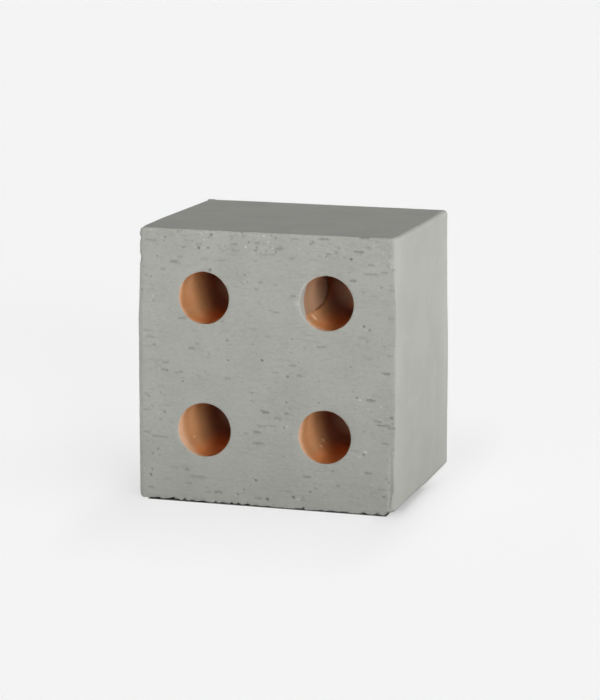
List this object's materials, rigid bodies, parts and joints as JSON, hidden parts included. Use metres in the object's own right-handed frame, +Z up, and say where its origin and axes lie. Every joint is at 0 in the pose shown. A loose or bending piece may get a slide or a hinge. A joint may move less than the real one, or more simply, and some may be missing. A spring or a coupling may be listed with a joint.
{
  "type": "clay brick",
  "caption": "Near-cubic fired clay brick with a matt grey skin, bare terracotta in its round through cores, wire-cut bed faces and rounded die edges, laid in mortar.",
  "frame": {"origin": "middle of the face that the brick stands on", "axes": "X across the front, +Y from the front along the cores to the back, +Z up"},
  "size_m": [0.115, 0.098, 0.1195],
  "materials": {
    "grey_fired_clay": "matt grey slip on the outer faces of a terracotta body, bare reddish clay inside the cores; fine wire drag marks and pits on the two cut faces"
  },
  "bodies": {
    "root": {"brick": "grey_fired_clay"}
  },
  "joints": []
}
